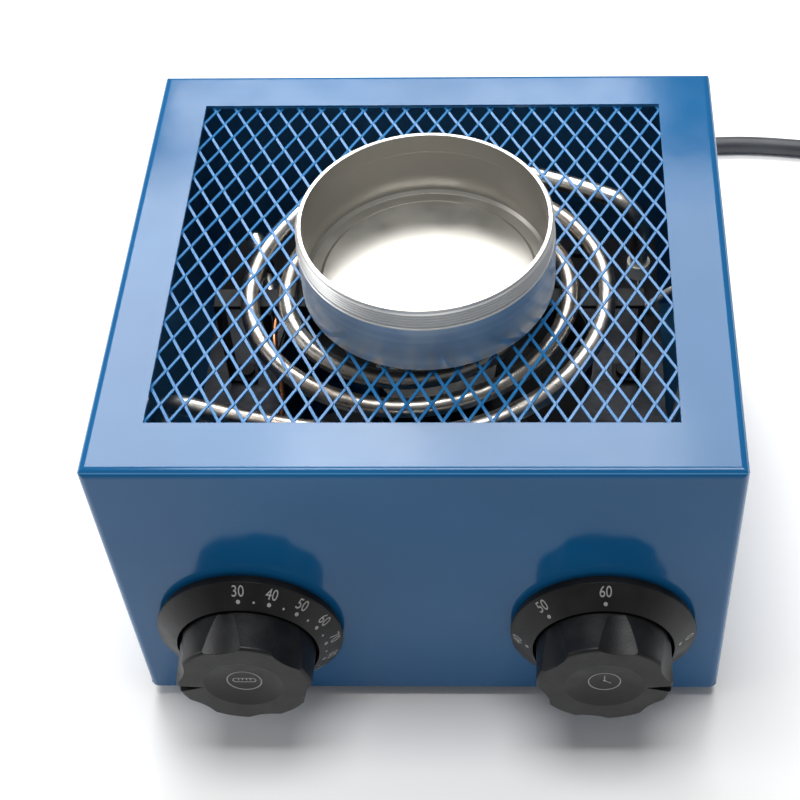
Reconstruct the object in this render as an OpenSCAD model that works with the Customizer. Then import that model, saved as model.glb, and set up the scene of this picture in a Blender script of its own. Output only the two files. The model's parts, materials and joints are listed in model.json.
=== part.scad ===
// Bench dryer for small watch parts: a painted steel box with a fan and a coiled
// heater under an expanded metal grille. Millimetres, Z up, front (dials) towards -Y.
// The origin is on the table, under the middle of the box and its knobs.

/* [Housing] */
// Width of the painted housing
body_w = 200; // [190:1:230]
// Depth of the painted housing
body_d = 184; // [180:1:210]
// Height of the painted housing, without its feet
body_h = 124; // [118:1:150]
// Thickness of the housing's sheet steel
sheet = 1.2; // [0.8:0.1:1.6]
// Outer radius of the sheet's bends
bend_r = 2.7; // [2:0.1:5]
// Width of the lips that the base plate is screwed to
lip_w = 12; // [11:0.5:14]
// Window's margin on the left
window_left = 17.5; // [12:0.5:24]
// Window's margin on the right
window_right = 19.5; // [12:0.5:24]
// Window's margin at the front
window_front = 19.5; // [12:0.5:24]
// Window's margin at the back
window_back = 17.5; // [12:0.5:24]

/* [Grille] */
// Thickness of the expanded metal
grille_t = 1; // [0.8:0.1:1.5]
// Width of one diamond, middle to middle
diamond_w = 9.8; // [9:0.1:14]
// Depth of one diamond, middle to middle
diamond_d = 17.4; // [16:0.1:24]
// Width of a strand
strand_w = 1.1; // [0.9:0.1:1.6]
// How far the grille reaches under the top panel
grille_lap = 6; // [4:0.5:8]

/* [Base] */
// Thickness of the base plate
base_t = 1.2; // [1:0.1:2]
// Gap between the base plate and the walls
base_gap = 0.4; // [0.2:0.1:0.8]
// Height of the rubber feet
foot_h = 6; // [5:0.5:10]
// Radius of the rubber feet
foot_r = 9; // [8:0.5:11]
// Distance of a foot's middle from the housing's sides
foot_inset = 24; // [22:0.5:28]
// Length of an air slot
slot_l = 50; // [30:1:60]
// Width of an air slot
slot_w = 4; // [3:0.5:5]
// Number of air slots in a row
slot_count = 11; // [7:2:11]

/* [Heater] */
// Diameter of the heater tube
tube_d = 6.4; // [5.5:0.1:7]
// Height of the heater tube's middle below the top
heater_drop = 17; // [13:0.5:20]
// Distance of the outer ring from the coil's middle, at its sides
coil_r = 60.2; // [56:0.1:62]
// Distance between neighbouring rings
coil_pitch = 12.4; // [10:0.05:13]
// Depth of the coil, as a share of its width
coil_squeeze = 0.95; // [0.9:0.01:1]
// Radius of the slack bend of a leg
leg_r = 250; // [200:10:400]
// Radius of the bend where a leg turns down
leg_bend_r = 12; // [10:0.5:15]

/* [Fan] */
// Width of the square fan frame
fan_w = 119; // [117:0.5:122]
// Height of the fan frame
fan_h = 38; // [32:1:42]
// Height of the fan above the table
fan_z = 30; // [28:0.5:32]
// Distance of the fan's middle behind the housing's middle
fan_back = 8; // [6:0.5:10]
// Distance from the fan's air duct to the frame's edge
duct_rim = 2.5; // [2:0.5:4]
// Distance of a fan screw from the frame's edges
fan_hole_in = 7; // [6:0.5:8]
// Gap between the blades and the duct
blade_gap = 2.5; // [1.5:0.5:4]
// Number of blades
blade_count = 7; // [5:1:7]
// Radius of the fan's hub
hub_r = 22; // [20:0.5:24]
// Radius of the fan's shaft
shaft_r = 2; // [1.5:0.1:2.5]

/* [Knobs] */
// Distance of each knob from the housing's side
knob_inset = 41.25; // [38:0.25:46]
// Height of the knobs' axis above the housing's lower edge
knob_up = 40.25; // [39:0.25:48]
// How far the knobs reach in front of the housing
knob_reach = 22.75; // [20:0.25:26]
// Outer radius of a dial ring
dial_r = 30.75; // [28:0.25:34]
// Height of a dial ring's outer edge
dial_edge = 3.4; // [3:0.1:6]
// Height of a dial ring's inner edge
dial_h = 9.2; // [8:0.1:10]
// Radius of a knob's grip
grip_r = 22.2; // [20:0.1:23]
// Gap between a grip and its dial ring
grip_gap = 1.2; // [0.8:0.1:2]
// Radius of the knobs' stems
stem_r = 3; // [2.5:0.1:3.5]
// Running clearance of shafts and stems
run_gap = 0.05; // [0.02:0.01:0.08]

/* [Dish] */
// Outer radius of the dish
dish_r = 41.25; // [36:0.25:46]
// Height of the dish
dish_h = 27; // [20:0.5:34]
// Wall of the dish
dish_wall = 1; // [0.8:0.1:1.6]
// Distance of the dish's middle right of the housing's middle
dish_x = 1.7; // [-10:0.1:10]
// Distance of the dish's middle behind the housing's middle
dish_y = -10.6; // [-14:0.1:10]

/* [Mains lead] */
// Diameter of the mains lead
lead_d = 7.6; // [6.4:0.1:7.6]
// Length of the strain relief behind the housing
relief_l = 25; // [20:1:25]
// Width of the plug
plug_w = 30; // [26:1:32]
// Length of the plug's body
plug_l = 42; // [36:1:48]

/* [Hidden] */

$fn = 64;
eps = 0.01;
fit_gap = 0.05;

// Where the housing stands
body_y = knob_reach / 2;
front_y = body_y - body_d / 2;
back_y = body_y + body_d / 2;
base_top = foot_h + base_t;
top_z = foot_h + body_h;
under_top = top_z - sheet;
inner_w = body_w - 2 * sheet;
inner_d = body_d - 2 * sheet;

// Where the window lies
window_w = body_w - window_left - window_right;
window_d = body_d - window_front - window_back;
window_x = (window_left - window_right) / 2;
window_y = body_y + (window_front - window_back) / 2;

// Screws: M3 and M4, with their holes and heads
m3_r = 1.45;
m3_hole = 1.5;
m3_head_r = 2.8;
m3_head_h = 1.8;
m4_r = 1.95;
m4_hole = 2.1;
m4_head_r = 3.6;
m4_head_h = 2.2;
m4_nut_r = 4;
m4_nut_h = 3;

// Base plate and feet
slot_pitch = 9;
foot_bore_r = 4.4;
foot_web = 3;
foot_x = body_w / 2 - foot_inset;
foot_y = body_d / 2 - foot_inset;
lip_screw_in = lip_w / 2 + sheet;
lip_screw_x = body_w / 2 - lip_screw_in;
lip_screw_y = body_d / 2 - lip_screw_in;
base_screw_l = 5;

// Fan and its brackets
fan_y = body_y + fan_back;
fan_top = fan_z + fan_h;
duct_r = fan_w / 2 - duct_rim;
fan_hole = fan_w / 2 - fan_hole_in;
fan_screw_l = 10;
flange_t = 4;
flange_corner = 6;
duct_wall = 2.2;
strut_w = 8;
mount_r = 21;
bracket_t = 1.5;
bracket_top = fan_top + bracket_t;
bracket_in = fan_hole - 6.5;
bracket_lip_gap = 4.8;
bracket_x = inner_w / 2 - lip_w - bracket_lip_gap;
bracket_half = fan_w / 2;
bracket_leg = 30;
bracket_foot = 16;
bracket_screw_x = bracket_x - bracket_foot / 2;
bracket_screw_y = 20;
cup_wall = 2.5;
cup_z = fan_z + 10;
cup_top = fan_top - 4;
stator_gap = 2;
stator_h = 20;
bearing_r = 5;
bearing_h = 4;
blade_t = 1.8;
blade_w = 28;
blade_tilt = 38;

// Heater coil: half circles that meet on the coil's X axis
heater_x = 0.2;
heater_y = body_y - 1.5;
heater_z = top_z - heater_drop;
half_pitch = coil_pitch / 2;
outer_arc_r = coil_r + half_pitch;
heater_step = 15;
leg_start = [94, 108];
right_leg_sweep = 9;
leg_wall_gap = 8.87;
seal_r = 4.2;
seal_h = 6;
pin_r = 1.5;
pin_h = 5;
pin_gap = 5.5;
leg_drop = heater_z - leg_bend_r - seal_h - pin_h - pin_gap - bracket_top;
support_w = 8;
support_t = 1.5;
support_x = (bracket_x + duct_r) / 2 + 3.5;
support_foot = 8;
support_top = heater_z - tube_d / 2 - fit_gap;
clip_t = 0.8;
clip_w = 5;
clip_play = 0.45;
clip_x = coil_r - 2 * coil_pitch;

// Sensing bulb beside the coil, and its holder
bulb_r = 3;
bulb_l = 40;
bulb_x = -58.4;
bulb_y = body_y + 15;
bulb_z = heater_z - 8;
bulb_turn = 16;
capillary_r = 1.1;
capillary_sunk = 0.4;
capillary_sway = 3;
holder_r = 2;
holder_l = 6;
holder_out = 2.5;

// Knobs, dials and what is behind them
knob_x = body_w / 2 - knob_inset;
knob_z = foot_h + knob_up;
dial_web = 1.6;
dial_bore = 7;
dial_step = 1.2;
control_screw = 12;
grip_back = 2.2;
grip_wall = 2.7;
grip_face = 4;
grip_round = 1.2;
hub_wall = 3.5;
flute_r = 17;
flute_count = 6;
flute_deep = 2.2;
flute_tilt = 9;
hollow_r = 13;
hollow_deep = 2;
notch_in = 13.5;
notch_w = 4.4;
notch_deep = 1.4;
stem_out = 15;
stem_in = 12;
stem_flat = 1;
bushing_r = 5;
bushing_hole = 5.2;
thermostat_w = 34;
thermostat_h = 34;
thermostat_d = 26;
timer_w = 52;
timer_h = 48;
timer_d = 32;
first_flute = [48, 10];
notch_turn = [-97, 95];

// Dish
thread_count = 5;
thread_h = 1.15;
thread_out = 0.5;
collar_h = 7;
dish_floor = 0.8;
dish_z = under_top;

// Terminal block and earth stud
block_l = 40;
block_d = 18;
block_h = 15;
block_y = back_y - sheet - lip_w - 1 - block_d / 2;
earth_x = 8;
wire_r = 1.2;
inner_lead_r = 3;

// Mains lead: its route from the foot of its exit on the back, by points chosen by hand
lead_r = lead_d / 2;
exit_in = 36;
exit_up = 29;
exit_x = body_w / 2 - exit_in;
exit_z = foot_h + exit_up;
block_x = exit_x - block_l / 2;
relief_r = 6.4;
relief_flange_r = 9.5;
relief_flange_t = 2;
relief_neck_r = 6.9;
relief_tip_r = 4.6;
relief_grooves = 4;
relief_groove_w = 1.6;
relief_end = back_y + relief_l;
lead_points = [
    [0, 38.6, 34.6], [0, 48.6, 32.4], [0.5, 58.6, 28], [2, 67.6, 22.4],
    [5, 75.6, 16.6], [10, 83.1, 11.2], [17, 89.6, 7], [26, 95.6, 4.6],
    [36, 100, 3.8], [46, 102.6, 3.8], [56, 103.6, 3.8], [67, 103.9, 3.8],
    [78, 103.3, 3.8], [89, 102.1, 3.8], [100, 100.5, 3.9], [111, 98.7, 4.3],
    [122, 97.5, 4.7]
];
coil_middle = [exit_x + 149, back_y + 46.6];
lead_coil_in = 32.8;
lead_turns = 2.125;
lead_layer = 8.2;
lead_steps = 24;
lead_out = 42;
tie_t = 0.9;
tie_w = 10;
tie_gap = 0.2;
coil_low = lead_r + tie_t + tie_gap;
coil_out = lead_coil_in + lead_layer * lead_turns;

// Plug at the far end
plug_tip = 20;
plug_h = 2 * (coil_low + lead_layer);
pin_l = 18;
pin_w = 6.3;
pin_t = 1.5;
pin_sunk = 4;

function vec_len(v) = sqrt(v * v);
function unit(v) = v / vec_len(v);

// Direction of a path at each of its points
function tangent(path, i) =
    let (n = len(path) - 1)
    unit(path[min(i + 1, n)] - path[max(i - 1, 0)]);

// Rings of a tube round a path; each ring carries the last one's start on, untwisted
function square_to(v, t) = unit(v - (v * t) * t);
function tube_rings(path, r, sides) =
    let (
        n = len(path),
        t = [for (i = [0:n - 1]) tangent(path, i)],
        first = square_to(abs(t[0][2]) < 0.9 ? [0, 0, 1] : [1, 0, 0], t[0])
    )
    [
        for (i = 0, a = first; i < n; i = i + 1, a = i < n ? square_to(a, t[i]) : a)
            let (b = cross(a, t[i]))
            for (k = [0:sides - 1])
                path[i] + r * (cos(360 * k / sides) * a + sin(360 * k / sides) * b)
    ];

// One unbroken tube along a path, with triangles for faces
module swept_tube(path, r, sides) {
    last = (len(path) - 1) * sides;
    walls = [
        for (i = [0:len(path) - 2]) for (k = [0:sides - 1])
            let (
                a = i * sides + k,
                b = i * sides + (k + 1) % sides
            )
            each [[a, b, b + sides], [a, b + sides, a + sides]]
    ];
    start_cap = [for (k = [1:sides - 2]) [0, k + 1, k]];
    end_cap = [for (k = [1:sides - 2]) [last, last + k, last + k + 1]];
    polyhedron(tube_rings(path, r, sides), concat(walls, start_cap, end_cap));
}

// The lead's coil: it spirals in, climbs a layer in half a turn, and spirals out
function coil_radius(t) = lead_coil_in + lead_layer * abs(t - lead_turns);
function coil_climb(t) =
    lead_layer * min(1, max(0, (t - lead_turns + 0.25) / 0.5));
function coil_point(t) = [
    coil_middle[0] + coil_radius(t) * cos(90 - 360 * t),
    coil_middle[1] + coil_radius(t) * sin(90 - 360 * t),
    coil_low + coil_climb(t)
];
coil_last = 2 * lead_turns * lead_steps;
coil_end = coil_point(2 * lead_turns);
coil_path = concat(
    [[coil_middle[0] - lead_d, coil_middle[1] + coil_out, coil_low]],
    [for (i = [0:coil_last]) coil_point(i / lead_steps)],
    [
        coil_end - [0, lead_d, 0],
        coil_end - [0, lead_out - lead_d, 0],
        coil_end - [0, lead_out, 0]
    ]
);
plug_start = coil_end - [0, lead_out, 0];
coil_begin = [coil_middle[0] - lead_d, coil_middle[1] + coil_out, coil_low];
lead_path = concat(
    [[exit_x, relief_end, exit_z], [exit_x, relief_end + 0.8 * lead_d, exit_z]],
    [for (p = lead_points) [exit_x, back_y, 0] + p],
    [coil_begin - [0.8 * lead_d, 0, 0], coil_begin]
);

// Length of a path
function path_len(path) = len(path) < 2 ? 0 : sum_of([
    for (i = [1:len(path) - 1]) vec_len(path[i] - path[i - 1])
]);
function sum_of(list) = list * [for (x = list) 1];
echo(length_of_the_lead = path_len(lead_path) + path_len(coil_path));

// Least gap of a path to itself, among points that are at least some steps apart
function least_gap(path, d, apart) = min([
    for (i = [0:len(path) - 1]) for (j = [i + apart:1:len(path) - 1])
        vec_len(path[i] - path[j])
]) - d;

module at_front(x, z) {
    translate([x, front_y, z]) rotate([90, 0, 0]) children();
}

module at_fan() {
    translate([0, fan_y, 0]) children();
}

module at_four(x, y) {
    for (sx = [-1, 1]) for (sy = [-1, 1]) translate([sx * x, sy * y, 0]) children();
}

module rounded_rect(w, d, r) {
    square([w - 2 * r, d], center = true);
    square([w, d - 2 * r], center = true);
    for (sx = [-1, 1]) for (sy = [-1, 1])
        translate([sx * (w / 2 - r), sy * (d / 2 - r)]) circle(r);
}

// Upright outline that is square at the bottom and round at its top corners
module arch_rect(w, h, r) {
    translate([-w / 2, 0]) square([w, h - r]);
    translate([-w / 2 + r, 0]) square([w - 2 * r, h]);
    for (sx = [-1, 1]) translate([sx * (w / 2 - r), h - r]) circle(r);
}

// Block with round upright edges and round top edges
module bent_block(w, d, h, r) {
    intersection() {
        linear_extrude(h) rounded_rect(w, d, r);
        translate([0, d / 2, 0]) rotate([90, 0, 0]) linear_extrude(d) arch_rect(w, h, r);
        translate([-w / 2, 0, 0]) rotate([90, 0, 90]) linear_extrude(w) arch_rect(d, h, r);
    }
}

module screw(r, length, head_r, head_h) {
    cylinder(r = r, h = length);
    translate([0, 0, -head_h]) cylinder(r = head_r, h = head_h);
}

module hex_nut(r, bore, h) {
    difference() {
        cylinder(r = r, h = h, $fn = 6);
        translate([0, 0, -1]) cylinder(r = bore, h = h + 2);
    }
}

// Places of the screws that hold the base plate to the lips
module at_base_screws() {
    for (sx = [-1, 1]) for (sy = [-1, 1])
        translate([sx * foot_x / 2, body_y + sy * lip_screw_y, 0]) children();
    for (sx = [-1, 1]) translate([sx * lip_screw_x, body_y, 0]) children();
}

module at_control_screws() {
    for (s = [-1, 1]) translate([s * control_screw, 0, 0]) children();
}

module lips() {
    translate([0, body_y, base_top]) linear_extrude(sheet) difference() {
        square([body_w - sheet, body_d - sheet], center = true);
        square([inner_w - 2 * lip_w, inner_d - 2 * lip_w], center = true);
    }
}

module window_cut() {
    translate([window_x - window_w / 2, window_y - window_d / 2, under_top - 1])
        cube([window_w, window_d, sheet + 2]);
}

module panel_holes(x) {
    at_front(x, knob_z) translate([0, 0, -sheet - 1]) {
        cylinder(r = bushing_hole, h = sheet + 2);
        at_control_screws() cylinder(r = m4_hole, h = sheet + 2);
    }
}

module housing_shell() {
    color("#1f6fb2") difference() {
        union() {
            translate([0, body_y, foot_h]) difference() {
                bent_block(body_w, body_d, body_h, bend_r);
                translate([0, 0, -1])
                    bent_block(inner_w, inner_d, body_h - sheet + 1, bend_r - sheet);
            }
            lips();
        }
        window_cut();
        panel_holes(-knob_x);
        panel_holes(knob_x);
        at_base_screws() cylinder(r = m3_hole, h = base_top + sheet + 1);
        translate([exit_x, back_y + 1, exit_z]) rotate([90, 0, 0])
            cylinder(r = relief_neck_r + fit_gap, h = sheet + 2);
    }
}

// Diamonds of the expanded metal that lie inside the window's lap
module diamonds(w, d) {
    cols = floor((w - diamond_w) / diamond_w);
    rows = floor((d - diamond_d) / diamond_d);
    half_x = diamond_w / 2 - strand_w * 0.6;
    half_y = diamond_d / 2 - strand_w;
    for (i = [0:2 * rows]) {
        shift = i % 2;
        for (j = [0:cols - shift])
            translate([
                (j - (cols - shift) / 2) * diamond_w,
                (i - rows) * diamond_d / 2
            ]) polygon([[-half_x, 0], [0, -half_y], [half_x, 0], [0, half_y]]);
    }
}

module top_grille() {
    grid_w = window_w + 2 * grille_lap;
    grid_d = window_d + 2 * grille_lap;
    color("#2a7cc0") translate([window_x, window_y, under_top - grille_t])
        linear_extrude(grille_t) difference() {
            square([grid_w, grid_d], center = true);
            diamonds(grid_w, grid_d);
        }
}

module air_slots() {
    at_fan() for (i = [0:slot_count - 1])
        translate([(i - (slot_count - 1) / 2) * slot_pitch, 0, 0]) {
            translate([-slot_w / 2, -slot_l / 2 + slot_w / 2, -1])
                cube([slot_w, slot_l - slot_w, base_top + 2]);
            for (s = [-1, 1])
                translate([0, s * (slot_l - slot_w) / 2, -1])
                    cylinder(r = slot_w / 2, h = base_top + 2);
        }
}

module at_bracket_screws() {
    at_fan() at_four(bracket_screw_x, bracket_screw_y) children();
}

module base_plate() {
    color("#1b5f9a") difference() {
        translate([0, body_y, foot_h]) linear_extrude(base_t)
            square([inner_w - 2 * base_gap, inner_d - 2 * base_gap], center = true);
        air_slots();
        at_base_screws() cylinder(r = m3_hole, h = base_top + 1);
        at_bracket_screws() cylinder(r = m3_hole, h = base_top + 1);
        translate([0, body_y, 0]) at_four(foot_x, foot_y)
            cylinder(r = m4_hole, h = base_top + 1);
        translate([earth_x, block_y, 0]) cylinder(r = m4_hole, h = base_top + 1);
        at_block_screws() cylinder(r = m3_hole, h = base_top + 1);
    }
}

module base_screws() {
    color("silver") at_base_screws() translate([0, 0, foot_h])
        screw(m3_r, base_screw_l, m3_head_r, m3_head_h);
}

module rubber_feet() {
    color("#202022") translate([0, body_y, 0]) at_four(foot_x, foot_y) difference() {
        cylinder(r1 = foot_r - 1, r2 = foot_r, h = foot_h);
        translate([0, 0, -1]) cylinder(r = m4_hole, h = foot_h + 2);
        translate([0, 0, -1]) cylinder(r = foot_bore_r, h = foot_h - foot_web + 1);
    }
}

module foot_screws() {
    color("silver") translate([0, body_y, foot_h - foot_web]) at_four(foot_x, foot_y)
        screw(m4_r, foot_web + base_t + m4_nut_h + 1, m4_head_r, m4_head_h);
}

module foot_nuts() {
    color("silver") translate([0, body_y, base_top]) at_four(foot_x, foot_y)
        hex_nut(m4_nut_r, m4_r + fit_gap, m4_nut_h);
}

// Points of an arc in the coil's plane, without its first one
function arc_points(middle, r, from, upto) =
    let (steps = max(1, round(abs(upto - from) / heater_step)))
    [
        for (i = [1:steps])
            let (a = from + (upto - from) * i / steps)
            [middle[0] + r * cos(a), middle[1] + r * sin(a), 0]
    ];

// A leg slackens, turns down and ends straight
function leg_middle(start) = [
    -half_pitch + (outer_arc_r - leg_r) * cos(start),
    -(outer_arc_r - leg_r) * sin(start)
];
// Angle where the leg's arc stops, for a leg that ends this far from the coil's middle
function leg_last(start, reach) =
    acos((-reach - leg_middle(start)[0]) / norm([leg_r, leg_bend_r]))
    - atan2(leg_bend_r, leg_r);
function leg_points(start, last) =
    let (
        middle = leg_middle(start),
        top = [middle[0] + leg_r * cos(last), middle[1] - leg_r * sin(last), 0],
        way = [-sin(last), -cos(last), 0]
    )
    concat(
        arc_points(middle, leg_r, -start, -last),
        [
            for (b = [15:15:90])
                top + leg_bend_r * sin(b) * way + [0, 0, leg_bend_r * (cos(b) - 1)]
        ],
        [top + leg_bend_r * way - [0, 0, leg_bend_r + leg_drop]]
    );

// One half of the coil, from its middle out to the end of its leg
function arm_points(start, last) = [
    for (p = concat(
        arc_points([clip_x / 2, 0], clip_x / 2, 180, 0),
        arc_points([-half_pitch, 0], coil_r - 3 * half_pitch, 0, -180),
        arc_points([half_pitch, 0], coil_r - half_pitch, 180, 0),
        arc_points([-half_pitch, 0], outer_arc_r, 0, -start),
        leg_points(start, last)
    )) [p[0], coil_squeeze * p[1], p[2]]
];
left_reach = inner_w / 2 - leg_wall_gap - seal_r + heater_x;
left_arm = arm_points(leg_start[0], leg_last(leg_start[0], left_reach));
right_arm = [
    for (p = arm_points(leg_start[1], leg_start[1] + right_leg_sweep)) [-p[0], -p[1], p[2]]
];
heater_path = concat(
    [for (i = [len(left_arm) - 1:-1:0]) left_arm[i]],
    [[0, 0, 0]],
    right_arm
);

echo(least_gap_of_the_heater_coil = least_gap(heater_path, tube_d, 6));
echo(least_gap_of_the_lead_coil = least_gap(coil_path, lead_d, 8));

module at_leg_ends() {
    for (p = [left_arm[len(left_arm) - 1], right_arm[len(right_arm) - 1]])
        translate([heater_x, heater_y, heater_z] + p) children();
}

module heater_tube() {
    color("#b9bcc0") translate([heater_x, heater_y, heater_z])
        swept_tube(heater_path, tube_d / 2, 8);
}

module heater_end_seals() {
    color("#e8e6df") at_leg_ends() translate([0, 0, -seal_h])
        cylinder(r = seal_r, h = seal_h);
}

module heater_pins() {
    color("silver") at_leg_ends() translate([0, 0, -seal_h - pin_h])
        cylinder(r = pin_r, h = pin_h);
}

// Strip under the coil, bent down at both ends onto the fan brackets
module heater_support() {
    color("#6d7074") translate([heater_x, heater_y, 0]) difference() {
        for (s = [-1, 1]) scale_x(s) {
            translate([-eps, -support_w / 2, support_top - support_t])
                cube([support_x + eps, support_w, support_t]);
            translate([support_x - support_t, -support_w / 2, bracket_top])
                cube([support_t, support_w, support_top - bracket_top]);
            translate([support_x - support_t - support_foot, -support_w / 2, bracket_top])
                cube([support_foot + support_t, support_w, support_t]);
        }
        for (s = [-1, 1])
            translate([s * (support_x - support_t - support_foot / 2), 0, bracket_top - 1])
                cylinder(r = m3_hole, h = support_t + 2);
    }
}

module scale_x(s) {
    if (s < 0) mirror([1, 0, 0]) children();
    else children();
}

module at_support_screws() {
    for (s = [-1, 1])
        translate([heater_x + s * (support_x - support_t - support_foot / 2), heater_y, 0])
            children();
}

module support_screws() {
    color("silver") at_support_screws()
        translate([0, 0, bracket_top + support_t]) mirror([0, 0, 1])
            screw(m3_r, support_t + bracket_t + 2, m3_head_r, m3_head_h);
}

// Saddles that hold the inner rings down on the strip
module heater_clips() {
    bore = tube_d / 2 + clip_play;
    color("silver") translate([heater_x, heater_y, heater_z]) for (s = [-1, 1])
        translate([s * clip_x, 0, 0]) difference() {
            union() {
                rotate([90, 0, 0]) translate([0, 0, -clip_w / 2])
                    cylinder(r = bore + clip_t, h = clip_w);
                translate([-bore - clip_t, -clip_w / 2, -tube_d / 2 - fit_gap])
                    cube([2 * (bore + clip_t), clip_w, tube_d / 2]);
            }
            rotate([90, 0, 0]) translate([0, 0, -clip_w]) cylinder(r = bore, h = 2 * clip_w);
            translate([-bore, -clip_w, -tube_d]) cube([2 * bore, 2 * clip_w, tube_d]);
            translate([-tube_d, -clip_w, -2 * tube_d - tube_d / 2 - fit_gap])
                cube([2 * tube_d, 2 * clip_w, 2 * tube_d]);
        }
}

module fan_plate(z) {
    translate([0, 0, z]) linear_extrude(flange_t) rounded_rect(fan_w, fan_w, flange_corner);
}

module fan_frame() {
    color("#3c3f43") at_fan() difference() {
        union() {
            difference() {
                union() {
                    fan_plate(fan_z);
                    fan_plate(fan_top - flange_t);
                    translate([0, 0, fan_z]) cylinder(r = duct_r + duct_wall, h = fan_h);
                }
                translate([0, 0, fan_z - 1]) cylinder(r = duct_r, h = fan_h + 2);
            }
            translate([0, 0, fan_z]) cylinder(r = mount_r, h = flange_t);
            for (a = [45, 135])
                rotate([0, 0, a]) translate([-duct_r - 1, -strut_w / 2, fan_z])
                    cube([2 * duct_r + 2, strut_w, flange_t]);
        }
        at_four(fan_hole, fan_hole) translate([0, 0, fan_z - 1])
            cylinder(r = m4_hole, h = fan_h + 2);
    }
}

module fan_stator() {
    color("#8a4b24") at_fan() translate([0, 0, fan_z + flange_t]) difference() {
        cylinder(r = hub_r - cup_wall - stator_gap, h = stator_h);
        translate([0, 0, -1]) cylinder(r = bearing_r, h = stator_h + 2);
    }
}

module fan_bearings() {
    low = fan_z + flange_t + 1;
    high = fan_z + flange_t + stator_h - bearing_h - 1;
    color("silver") at_fan() for (z = [low, high]) translate([0, 0, z]) difference() {
        cylinder(r = bearing_r - fit_gap, h = bearing_h);
        translate([0, 0, -1]) cylinder(r = shaft_r + run_gap, h = bearing_h + 2);
    }
}

module fan_impeller() {
    tip = duct_r - blade_gap;
    middle_z = (cup_z + cup_top) / 2;
    color("#26282b") at_fan() {
        difference() {
            union() {
                translate([0, 0, cup_z]) cylinder(r = hub_r, h = cup_top - cup_z);
                intersection() {
                    translate([0, 0, cup_z - 2])
                        cylinder(r = tip, h = cup_top - cup_z + 4);
                    for (i = [0:blade_count - 1])
                        rotate([0, 0, 360 * i / blade_count])
                            translate([hub_r - 1, 0, middle_z]) rotate([blade_tilt, 0, 0])
                                translate([0, -blade_w / 2, -blade_t / 2])
                                    cube([tip, blade_w, blade_t]);
                }
            }
            difference() {
                translate([0, 0, cup_z - 1])
                    cylinder(r = hub_r - cup_wall, h = cup_top - cup_z - cup_wall + 1);
                translate([0, 0, fan_z + flange_t + stator_h + 1])
                    cylinder(r = bearing_r, h = fan_h);
            }
            translate([0, 0, cup_z - 1]) cylinder(r = shaft_r, h = cup_top - cup_z - 1);
        }
    }
}

module fan_shaft() {
    low = fan_z + flange_t + 0.5;
    color("silver") at_fan() translate([0, 0, low])
        cylinder(r = shaft_r, h = cup_top - 2 - low);
}

// Two bent plates that carry the fan by its corners
module fan_brackets() {
    color("#5d6064") at_fan() for (s = [-1, 1]) scale_x(s) difference() {
        union() {
            translate([bracket_in, -bracket_half, fan_top])
                cube([bracket_x - bracket_in, 2 * bracket_half, bracket_t]);
            translate([bracket_x - bracket_t, -bracket_leg, base_top])
                cube([bracket_t, 2 * bracket_leg, bracket_top - base_top]);
            translate([bracket_x - bracket_foot, -bracket_leg, base_top])
                cube([bracket_foot, 2 * bracket_leg, bracket_t]);
        }
        translate([0, 0, fan_top - 1]) cylinder(r = duct_r + 0.5, h = bracket_t + 2);
        for (sy = [-1, 1]) {
            translate([fan_hole, sy * fan_hole, fan_top - 1])
                cylinder(r = m4_hole, h = bracket_t + 2);
            translate([bracket_screw_x, sy * bracket_screw_y, base_top - 1])
                cylinder(r = m3_hole, h = bracket_t + 2);
        }
        translate([
            support_x - support_t - support_foot / 2 + s * heater_x,
            heater_y - fan_y,
            fan_top - 1
        ]) cylinder(r = m3_hole, h = bracket_t + 2);
    }
}

module fan_screws() {
    color("silver") at_fan() at_four(fan_hole, fan_hole) translate([0, 0, bracket_top])
        mirror([0, 0, 1]) screw(m4_r, fan_screw_l, m4_head_r, m4_head_h);
}

module fan_nuts() {
    color("silver") at_fan() at_four(fan_hole, fan_hole)
        translate([0, 0, fan_top - flange_t - m4_nut_h])
            hex_nut(m4_nut_r, m4_r + fit_gap, m4_nut_h);
}

module bracket_screws() {
    color("silver") at_bracket_screws() translate([0, 0, foot_h])
        screw(m3_r, base_t + bracket_t + 2, m3_head_r, m3_head_h);
}

// Closed control with a threaded neck and a blind bore for its stem
module control_body(w, h, d) {
    difference() {
        union() {
            translate([0, 0, -sheet - d]) linear_extrude(d) rounded_rect(w, h, 3);
            translate([0, 0, -sheet - 1]) cylinder(r = bushing_r, h = sheet + 1 + dial_web);
        }
        translate([0, 0, -stem_in - 0.5]) cylinder(r = stem_r + run_gap, h = stem_in + 10);
        at_control_screws() translate([0, 0, -sheet - 8]) cylinder(r = m4_r + fit_gap, h = 10);
    }
}

module control_screws() {
    at_control_screws() translate([0, 0, dial_web]) mirror([0, 0, 1])
        screw(m4_r, dial_web + sheet + 6, m4_head_r, m4_head_h);
}

// Stem with a flat where the knob sits
module stem(r) {
    difference() {
        translate([0, 0, -stem_in]) cylinder(r = r, h = stem_in + stem_out);
        translate([r - stem_flat, -r - 1, grip_back + 1]) cube([2 * r, 2 * r + 2, stem_out]);
    }
}

// Fixed ring that carries the scale
module dial_ring() {
    bore = grip_r + grip_gap;
    difference() {
        rotate_extrude() polygon([
            [dial_bore, 0], [dial_r - 1, 0], [dial_r - 1, dial_step],
            [dial_r, dial_step + 0.4], [dial_r, dial_edge - 0.4],
            [dial_r - 0.4, dial_edge], [bore, dial_h], [bore, dial_web],
            [dial_bore, dial_web]
        ]);
        at_control_screws() translate([0, 0, -1]) cylinder(r = m4_hole, h = dial_web + 2);
    }
}

module grip_outline() {
    polygon([
        [0, grip_back], [grip_r + 0.1, grip_back], [grip_r, knob_reach - grip_round],
        [grip_r - grip_round, knob_reach - grip_round],
        [grip_r - grip_round, knob_reach], [0, knob_reach]
    ]);
    translate([grip_r - grip_round, knob_reach - grip_round]) circle(grip_round);
}

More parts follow.
